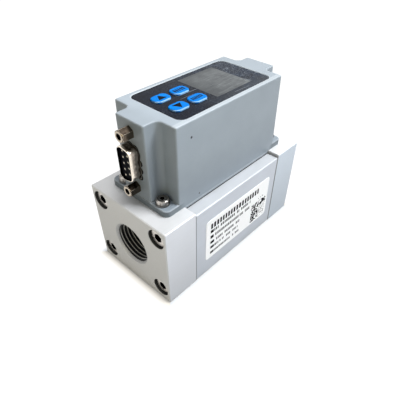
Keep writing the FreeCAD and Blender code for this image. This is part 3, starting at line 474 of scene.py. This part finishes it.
keyFinish = dict(
    base=(0.0, 0.165, 0.58), pale=(0.0, 0.19, 0.64), rim=(0.02, 0.30, 0.68), glint=(0.42, 0.70, 0.95),
    mark=(0.003, 0.004, 0.006), level=0.02, rough=(0.20, 0.30), cloud=(2.5, 2.0), grain=(0.4, 2.0), depth=0.006,
    rimReach=0.3, rimShare=0.5, glintWay=(-0.5, -0.87), glintStart=(0.35, 0.6), glintEnd=(0.97, 0.85),
    glintShare=0.75, markEdge=0.03, markTop=(0.3, 0.2), left=-2.95, wide=2.2, foot=1.6, tip=2.0)


def barRow(count, step, wide, high):  # plain bars in a row
    starts = [keyFinish["left"] + k * step for k in range(count)]
    return [[(x, -high), (x + wide, -high), (x + wide, high), (x, high)] for x in starts]


keyMarks = {  # plain outlines on each key's top, millimetres from the key's middle, anticlockwise
    "key_up": [[(-keyFinish["wide"], -keyFinish["foot"]), (keyFinish["wide"], -keyFinish["foot"]),
                (0.0, keyFinish["tip"])]],
    "key_down": [[(keyFinish["wide"], keyFinish["foot"]), (-keyFinish["wide"], keyFinish["foot"]),
                  (0.0, -keyFinish["tip"])]],
    "key_mode": barRow(count=5, step=1.22, wide=0.80, high=1.2),
    "key_enter": barRow(count=6, step=1.0, wide=0.65, high=1.05),
}


def insideEdges(tree, x, y, corners):  # 1 inside a convex outline given anticlockwise, in millimetres
    sides = []
    for (x0, y0), (x1, y1) in zip(corners, corners[1:] + corners[:1]):
        length = math.hypot(x1 - x0, y1 - y0)
        nx, ny = -(y1 - y0) / length, (x1 - x0) / length
        side = plus(tree, times(tree, x, nx), times(tree, y, ny))
        sides.append(spread(tree, minus(tree, side, nx * x0 + ny * y0), -keyFinish["markEdge"], keyFinish["markEdge"]))
    return smallest(tree, *sides)


def keyPlastic(name, outlines):
    material, tree = newMaterial(name, level=keyFinish["level"])
    where = place(tree)
    x, y, z = axesOf(tree, where)
    faceX, faceY = axesOf(tree, facing(tree))[:2]
    cloud = noise(tree, where, *keyFinish["cloud"])
    made = blendColours(tree, spread(tree, cloud, *helpers["firm"]), keyFinish["base"], keyFinish["pale"])
    # painted highlight: paler edges, and a painted glint on rounded faces turned towards -X and -Y
    made = cover(tree, made, keyFinish["rim"], rimMask(tree, keyFinish["rimReach"]), keyFinish["rimShare"])
    glintX, glintY = keyFinish["glintWay"]
    fore = plus(tree, times(tree, faceX, glintX), times(tree, faceY, glintY))
    made = cover(tree, made, keyFinish["glint"], spread(tree, fore, *keyFinish["glintStart"]),
                 spread(tree, fore, *keyFinish["glintEnd"]), keyFinish["glintShare"])
    low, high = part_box(name)
    midX, midY = (low.x + high.x) / 2 / mm, (low.y + high.y) / 2 / mm
    printed = largest(tree, *[insideEdges(tree, x, y, [(midX + a, midY + b) for a, b in corners])
                              for corners in outlines])
    onTop = spread(tree, z, *[high.z / mm - depth for depth in keyFinish["markTop"]])
    made = cover(tree, made, keyFinish["mark"], printed, onTop)
    return dress(material, made, cloud, keyFinish["rough"], noise(tree, where, *keyFinish["grain"]),
                 keyFinish["depth"])


board = dict(edge=(0.10, 0.36, 0.19), base=(0.03, 0.20, 0.09), coat=0.3, rough=(0.25, 0.4), cloud=(1.2, 2.0),
             tracks=2.2, trackSpan=(0.03, 0.06), depth=0.02)


def boardGreen():
    material, tree = newMaterial("boardGreen", coat=board["coat"])
    where = place(tree)
    tracks = cells(tree, where, board["tracks"], "DISTANCE_TO_EDGE")
    made = blendColours(tree, spread(tree, tracks, *board["trackSpan"]), board["edge"], board["base"])
    return dress(material, made, noise(tree, where, *board["cloud"]), board["rough"], tracks, board["depth"])


label = dict(base=(0.97, 0.97, 0.98), pale=(1.0, 1.0, 1.0), rough=(0.4, 0.52), cloud=(9.0, 3.0), grain=(0.5, 2.0),
             depth=0.004)


def labelFilm():
    material, tree = newMaterial("labelFilm")
    where = place(tree)
    cloud = noise(tree, where, *label["cloud"])
    made = blendColours(tree, spread(tree, cloud, *helpers["broad"]), label["base"], label["pale"])
    return dress(material, made, cloud, label["rough"], noise(tree, where, *label["grain"]), label["depth"])


# One material per slot of the record; the keys and the socket's shell have their own

finishes = {
    "block_aluminium": blockAluminium(), "housing_grey": housingPaint(), "panel_black": panelFilm(),
    "window_clear": displayWindow(), "board_green": boardGreen(), "label_white": labelFilm(),
}
finishes.update({slot: machinedSteel(**values) for slot, values in steels.items()})
finishes.update({slot: mouldedPlastic(**values) for slot, values in plastics.items()})
slotOf = {row["node"]: row["material_slot"] for row in frame["record"]["subparts"]}
for name, item in nodes.items():
    item.data.materials.clear()
    if name in keyMarks:
        item.data.materials.append(keyPlastic(name, keyMarks[name]))
    elif name == "connector_shell":
        item.data.materials.append(socketNickel())
    else:
        item.data.materials.append(finishes[slotOf[name]])
print("materials set:", len(finishes) + len(keyMarks) + 1)


# Pieces added to the frame

def addPiece(name, points, faces, slot, body="meter", finish=None, smooth=False):  # points in millimetres
    mesh = bpy.data.meshes.new(name)
    mesh.from_pydata([[c * mm for c in point] for point in points], [], faces)
    mesh.validate()
    if smooth:
        mesh.shade_smooth()
    item = bpy.data.objects.new(name, mesh)
    bpy.context.scene.collection.objects.link(item)
    item.data.materials.append(finish or finishes[slot])
    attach(item, body)
    return item


def turnedRing(profile, y=0.0, z=0.0, sides=96, first=0):  # a closed ring round an axis along X, from x and radius
    angles = [2 * math.pi * j / sides for j in range(sides)]
    points = [(x, y + radius * math.cos(angle), z + radius * math.sin(angle)) for x, radius in profile
              for angle in angles]
    faces = []
    for k in range(len(profile)):
        a, b = first + k * sides, first + (k + 1) % len(profile) * sides
        faces += [(a + j, b + j, b + (j + 1) % sides, a + (j + 1) % sides) for j in range(sides)]
    return points, faces


def plainBoxes(spans):  # each from its low and its high corner
    points, faces = [], []
    for low, high in spans:
        first = len(points)
        points += [(x, y, z) for x in (low[0], high[0]) for y in (low[1], high[1]) for z in (low[2], high[2])]
        for ring in ((0, 1, 3, 2), (4, 6, 7, 5), (0, 4, 5, 1), (2, 3, 7, 6), (0, 2, 6, 4), (1, 5, 7, 3)):
            faces.append([first + k for k in ring])
    return points, faces


thread = dict(root=10.47, crest=9.33, pitch=1.814, flat=0.12, foot=0.86, start=0.05, end=14.4, fade=0.5, least=0.02,
              steps=64)
mouth = ((0.03, 10.88), (1.0, 9.93), (1.3, 10.0), (1.6, 10.47), (0.46, 10.47))  # depth and radius of the countersink


def portThread(name, side):  # one closed helical ridge on the port's wall
    turns = (thread["end"] - thread["start"] - 2 * thread["foot"]) / thread["pitch"]
    count = int(turns * thread["steps"])
    points, faces = [], []
    for k in range(count + 1):
        turn = k / thread["steps"]
        grown = min(1.0, turn / thread["fade"], (turns - turn) / thread["fade"])
        crest = thread["root"] - max(thread["least"], grown) * (thread["root"] - thread["crest"])
        depth = thread["start"] + thread["foot"] + turn * thread["pitch"]
        angle = math.pi + 2 * math.pi * turn * side
        for radius, along in ((thread["root"], -thread["foot"]), (crest, -thread["flat"]),
                              (crest, thread["flat"]), (thread["root"], thread["foot"])):
            points.append((side * (blocks["end"] - depth - along), radius * math.cos(angle),
                           blocks["axisZ"] + radius * math.sin(angle)))
    for a in range(0, 4 * count, 4):
        faces += [(a + j, a + 4 + j, a + 4 + (j + 1) % 4, a + (j + 1) % 4) for j in range(4)]
    faces += [(3, 2, 1, 0), tuple(4 * count + j for j in range(4))]
    return addPiece(name, points, faces, "block_aluminium")


def portMouth(name, side):
    profile = [(side * (blocks["end"] - depth), radius) for depth, radius in mouth]
    return addPiece(name, *turnedRing(profile[::-side], z=blocks["axisZ"]), "block_aluminium")


portThread("portThreadNear", -1)
portThread("portThreadFar", 1)
portMouth("portMouthNear", -1)
portMouth("portMouthFar", 1)
print("port threads cut")


labelPrint = dict(
    seed=7, ink=0.02, left=-20.3, inset=0.04, fill=0.62, lead=1.9, leadOut=0.2,
    rows=((27.9, 31.3, 16.0, 1.0, 1.9, 2.3), (25.4, 27.2, 10.5, 0.85, 0.8, 1.5), (21.9, 23.7, 9.0, 0.85, 0.7, 1.4),
          (18.4, 20.1, 1.4, 0.85, 0.7, 1.4), (15.1, 16.7, 1.2, 0.8, 0.5, 1.1), (11.6, 13.1, 1.5, 0.8, 0.6, 1.2),
          (23.7, 24.4, 20.5, 0.5, 0.4, 0.8)),  # bottom, top, right end, share of dashes, shortest and longest step
    lastLeft=15.5, block=(11.4, 23.6, 10.2, 22.4), cell=0.61, faint=(17.0, 10.2, 18.6),
    fullCells=(0.58, 0.97), faintCells=(0.5, 0.55))  # share of black cells, and how much of its place each fills


def labelMarks():  # rows of plain dashes and a field of plain cells, which spell nothing
    draw = random.Random(labelPrint["seed"])
    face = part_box("rating_label")[0].y / mm
    spans = []

    def dash(x0, x1, z0, z1):
        spans.append(((x0, face - labelPrint["ink"], z0), (x1, face, z1)))

    for number, (z0, z1, right, share, short, long) in enumerate(labelPrint["rows"]):
        last = number == len(labelPrint["rows"]) - 1
        x = labelPrint["lastLeft"] if last else labelPrint["left"]
        inset = labelPrint["inset"] * (z1 - z0)
        while x < right:
            wide = draw.uniform(short, long)
            if draw.random() < share:
                dash(x, x + labelPrint["fill"] * wide, z0 + inset, z1 - inset)
            x += wide
        if number > 0 and not last:  # a heavier dash at the start of the lower rows
            dash(labelPrint["left"] - labelPrint["leadOut"], labelPrint["left"] + labelPrint["lead"], z0, z1)
    x0, x1, z0, z1 = labelPrint["block"]
    cell = labelPrint["cell"]
    faintX, faintLow, faintHigh = labelPrint["faint"]
    for i in range(int((x1 - x0) / cell)):
        for j in range(int((z1 - z0) / cell)):
            x, z = x0 + i * cell, z0 + j * cell
            faint = x > faintX and faintLow <= z < faintHigh
            share, fill = labelPrint["faintCells"] if faint else labelPrint["fullCells"]
            if draw.random() < share:
                dash(x, x + fill * cell, z, z + fill * cell)
    return addPiece("labelMarks", *plainBoxes(spans), "socket_black")


labelMarks()
print("label marked")


skirt = dict(x=29.8, y=17.58, thick=0.45, low=43.0, high=43.98)


def skirtStrips():  # the housing's lower lip along the slit, one strip a side
    inner, outer = skirt["y"] - skirt["thick"], skirt["y"]
    spans = [((-skirt["x"], y0, skirt["low"]), (skirt["x"], y1, skirt["high"]))
             for y0, y1 in ((-outer, -inner), (inner, outer))]
    return addPiece("skirtStrips", *plainBoxes(spans), "housing_grey")


seat = dict(
    length=16.33, width=7.9, slope=10.0, corner=2.4, arcSteps=8, centreZ=64.0, face=-40.4, sink=0.05, gap=0.06,
    wide=0.30, wave=1.15, waves=12, calm=0.35, calmFrom=2.0, high=0.30, crest=(0.45, 1.15), shoulder=(0.85, 0.75),
    steps=240, crown=(0.16, 0.15, 0.125), crownHigh=(0.315, 0.34),
    beadFinish=dict(name="socketBead", base=(0.004, 0.004, 0.004), pale=(0.009, 0.009, 0.009), rough=(0.30, 0.40),
                  level=0.12))


def socketOutline():  # the D shell's outline round its middle, as y and z, with rounded corners
    half, broad = seat["length"] / 2, seat["width"] / 2
    lean = math.tan(math.radians(seat["slope"])) * broad
    corners = [(-broad, -(half - 2 * lean)), (broad, -half), (broad, half), (-broad, half - 2 * lean)]
    outline = []
    for k in range(4):
        corner = Vector(corners[k])
        back = (Vector(corners[k - 1]) - corner).normalized()
        ahead = (Vector(corners[(k + 1) % 4]) - corner).normalized()
        turn = back.angle(ahead)
        centre = corner + (back + ahead).normalized() * seat["corner"] / math.sin(turn / 2)
        first = corner + back * seat["corner"] / math.tan(turn / 2) - centre
        for j in range(seat["arcSteps"] + 1):
            angle = (math.pi - turn) * j / seat["arcSteps"]
            outline.append(centre + Matrix.Rotation(angle, 2) @ first)
    return outline


def socketSeat():  # a black bead round the socket, its outer edge wavy: painted shade, a dark thing put in the gap round the shell
    outline = socketOutline()
    lengths = [0.0]
    for spot, following in zip(outline, outline[1:] + outline[:1]):
        lengths.append(lengths[-1] + (following - spot).length)
    points, faces = [], []
    ring = seat["steps"]
    stretch = 0
    for k in range(ring):
        reach = lengths[-1] * k / ring
        while lengths[stretch + 1] < reach:
            stretch += 1
        a, b = outline[stretch], outline[(stretch + 1) % len(outline)]
        spot = a.lerp(b, (reach - lengths[stretch]) / (lengths[stretch + 1] - lengths[stretch]))
        way = (b - a).normalized()
        out = Vector((way.y, -way.x))
        wave = abs(math.sin(math.pi * seat["waves"] * k / ring)) * seat["wave"]
        wave *= 1.0 if spot.x < 0 and spot.y < seat["calmFrom"] else seat["calm"]  # broad lobes low on the label side
        gap, high, edge = seat["gap"], seat["high"], seat["gap"] + seat["wide"] + wave
        crestOut, crestHigh = seat["crest"]
        shoulderOut, shoulderHigh = seat["shoulder"]
        for away, rise in ((gap, -seat["sink"]), (gap, high), (gap + crestOut * edge, crestHigh * high),
                           (shoulderOut * edge, shoulderHigh * high), (edge, -seat["sink"])):
            side = spot + out * away
            points.append((seat["face"] - rise, side.x, seat["centreZ"] + side.y))
    for k in range(ring):
        a, b = 5 * k, 5 * ((k + 1) % ring)
        faces += [(a + j, b + j, b + (j + 1) % 5, a + (j + 1) % 5) for j in range(5)]
    finish = mouldedPlastic(**seat["beadFinish"])
    tree = finish.node_tree
    colour = tree.nodes["Principled BSDF"].inputs["Base Color"]
    onCrown = spread(tree, axesOf(tree, place(tree))[0], *[seat["face"] - rise for rise in seat["crownHigh"]])
    feed(tree, colour, cover(tree, colour.links[0].from_socket, seat["crown"], onCrown))
    return addPiece("socketSeat", points, faces, "seal_rubber", finish=finish, smooth=True)


tines = dict(
    face=-43.95, middleZ=64.0, pitch=2.77, rows=((1.42, 5), (-1.42, 4)), sides=24,  # a row is its y and its count
    profile=((0.02, 0.36), (0.10, 0.22), (1.55, 0.22), (1.55, 0.495), (1.30, 0.495), (1.20, 0.36)),  # depth, radius
    gold=dict(name="tineGold", base=(0.92, 0.87, 0.76), dark=(0.80, 0.73, 0.60), rough=(0.2, 0.34)))


def contactTines():  # the narrowed spring ends inside the nine contacts
    profile = [(tines["face"] + depth, radius) for depth, radius in tines["profile"]]
    points, faces = [], []
    for y, count in tines["rows"]:
        for k in range(count):
            z = tines["middleZ"] + (k - (count - 1) / 2) * tines["pitch"]
            ringPoints, ringFaces = turnedRing(profile, y, z, tines["sides"], len(points))
            points += ringPoints
            faces += ringFaces
    return addPiece("contactTines", points, faces, "contact_gold", finish=machinedSteel(**tines["gold"]))


skirtStrips()
socketSeat()
contactTines()
print("socket seated, contacts fitted")


# Floor, light and camera

floor = dict(
    reach=4.0, rough=0.9, bounce=(0.38, 0.38, 0.37), warm=(0.80, 0.75, 0.66), cool=(0.70, 0.74, 0.78),
    warmGlow=(1.0, 0.965, 0.905), coolGlow=(0.95, 0.97, 1.0), glow=1.09, lee=(0.3, -0.3), whiteFrom=(1.5, 4.5),
    contact=0.70, contactReach=(0.3, 1.5), shadowReach=(0.0, 3.4), near=0.40, far=0.97)


def seenStraight(tree, path):  # 1 to the camera, and in a mirror or through glass
    return largest(tree, *[path.outputs[ray] for ray in ("Is Camera Ray", "Is Glossy Ray", "Is Transmission Ray")])


def paleFloor():  # white to the camera, with the object's shadow strongest beside its foot, and a painted shadow along the foot, warm beyond the ends and cool beyond the sides
    mesh = bpy.data.meshes.new("floor")
    reach = floor["reach"]
    mesh.from_pydata([(-reach, -reach, 0), (reach, -reach, 0), (reach, reach, 0), (-reach, reach, 0)], [],
                     [(0, 1, 2, 3)])
    item = bpy.data.objects.new("floor", mesh)
    bpy.context.scene.collection.objects.link(item)
    material, tree = newMaterial("floorPaper", level=0.0)
    shader = tree.nodes["Principled BSDF"]
    shader.inputs["Roughness"].default_value = floor["rough"]
    path = addNode(tree, "ShaderNodeLightPath")
    x, y = axesOf(tree, place(tree))[:2]
    beyondX = largest(tree, minus(tree, positive(tree, x), blocks["end"]), 0.0)
    beyondY = largest(tree, minus(tree, positive(tree, y), blocks["halfWidth"]), 0.0)
    # the floor seen by the camera is tinted warm beyond the ends and cool beyond the sides, which tints its shadow
    lee = spread(tree, minus(tree, beyondX, beyondY), *floor["lee"])
    shade = blendColours(tree, lee, floor["warm"], floor["cool"])
    feed(tree, shader.inputs["Base Color"],
         blendColours(tree, path.outputs["Is Camera Ray"], floor["bounce"], shade))
    away = lengthOf(tree, beyondX, beyondY)
    # painted shadow: near the foot the glow is tinted and dimmer, white again a few millimetres away
    tone = blendColours(tree, lee, floor["warmGlow"], floor["coolGlow"])
    tone = blendColours(tree, spread(tree, away, *floor["whiteFrom"]), tone, white)
    level = times(tree, spread(tree, away, *floor["contactReach"], floor["contact"], 1.0), floor["glow"])
    glow = addNode(tree, "ShaderNodeEmission", {"Color": tone, "Strength": level})
    share = times(tree, seenStraight(tree, path),
                  spread(tree, away, *floor["shadowReach"], floor["near"], floor["far"]))
    both = addNode(tree, "ShaderNodeMixShader", {0: share, 1: shader.outputs["BSDF"], 2: glow.outputs[0]})
    tree.links.new(both.outputs[0], tree.nodes["Material Output"].inputs["Surface"])
    item.data.materials.append(material)


studio = dict(
    horizon=0.12, zenith=0.60, dim=0.25, bright=1.5,  # the sky gets brighter upwards, and from -X to +X
    lamps={
        "keySoft": dict(place=(0.45, -0.60, 1.05), aim=(0, 0, 0.04), size=0.55, watts=17.2, tint=(0.94, 0.97, 1.0)),
        "topSoft": dict(place=(0.12, -0.08, 1.12), aim=(0, 0, 0.04), size=0.28, watts=4.6, tint=(1.0, 1.0, 1.0)),
        "endSoft": dict(place=(-0.85, -0.15, 0.12), aim=(0, 0, 0.01), size=0.40, watts=1.15, tint=(1.0, 0.89, 0.56)),
    },
)


def studioLight():
    world = bpy.data.worlds.new("studioWorld")
    bpy.context.scene.world = world
    world.use_nodes = True
    tree = world.node_tree
    sky = tree.nodes["Background"]
    sky.inputs["Color"].default_value = (*white, 1.0)
    seen = seenStraight(tree, addNode(tree, "ShaderNodeLightPath"))
    way = axesOf(tree, addNode(tree, "ShaderNodeTexCoord").outputs["Generated"])
    strength = times(tree, spread(tree, way[2], 0.0, 1.0, studio["horizon"], studio["zenith"]),
                     spread(tree, way[0], -1.0, 1.0, studio["dim"], studio["bright"]))
    feed(tree, sky.inputs["Strength"], spread(tree, seen, 0.0, 1.0, strength, 1.0))
    for name, lamp in studio["lamps"].items():
        light = bpy.data.lights.new(name, "AREA")
        light.size = lamp["size"]
        light.energy = lamp["watts"]
        light.color = lamp["tint"]
        item = bpy.data.objects.new(name, light)
        item.location = lamp["place"]
        back = Vector(lamp["place"]) - Vector(lamp["aim"])
        item.rotation_euler = back.to_track_quat("Z", "Y").to_euler()
        bpy.context.scene.collection.objects.link(item)


viewpoint = dict(azimuth=-48.893, elevation=42.905, roll=1.301, place=(-113.128, -102.215, 145.659),
                 focal=370.666, middle=(206.829, 221.669), picture=400.0, sensor=36.0, clip=0.005)


def photoCamera():  # angles in degrees, place in millimetres; focal length and middle in the photo's pixels
    azimuth, elevation = math.radians(viewpoint["azimuth"]), math.radians(viewpoint["elevation"])
    back = Vector((math.sin(azimuth) * math.cos(elevation), -math.cos(azimuth) * math.cos(elevation),
                   math.sin(elevation)))
    right = (-back).cross(Vector((0, 0, 1))).normalized()
    up = right.cross(-back)
    turn = math.radians(viewpoint["roll"])
    acrossRight = right * math.cos(turn) + up * math.sin(turn)
    acrossUp = up * math.cos(turn) - right * math.sin(turn)
    camera = bpy.data.cameras.new("photoCamera")
    item = bpy.data.objects.new("photoCamera", camera)
    bpy.context.scene.collection.objects.link(item)
    item.matrix_world = Matrix.Translation(Vector(viewpoint["place"]) * mm) @ Matrix(
        (acrossRight, acrossUp, back)).transposed().to_4x4()
    size = viewpoint["picture"]
    camera.sensor_width = viewpoint["sensor"]
    camera.lens = viewpoint["focal"] / size * camera.sensor_width
    camera.shift_x = (size / 2 - viewpoint["middle"][0]) / size
    camera.shift_y = (viewpoint["middle"][1] - size / 2) / size
    camera.clip_start = viewpoint["clip"]
    bpy.context.scene.camera = item


paleFloor()
studioLight()
photoCamera()
bpy.context.scene.view_settings.view_transform = "Standard"
print("stage, light and camera set")
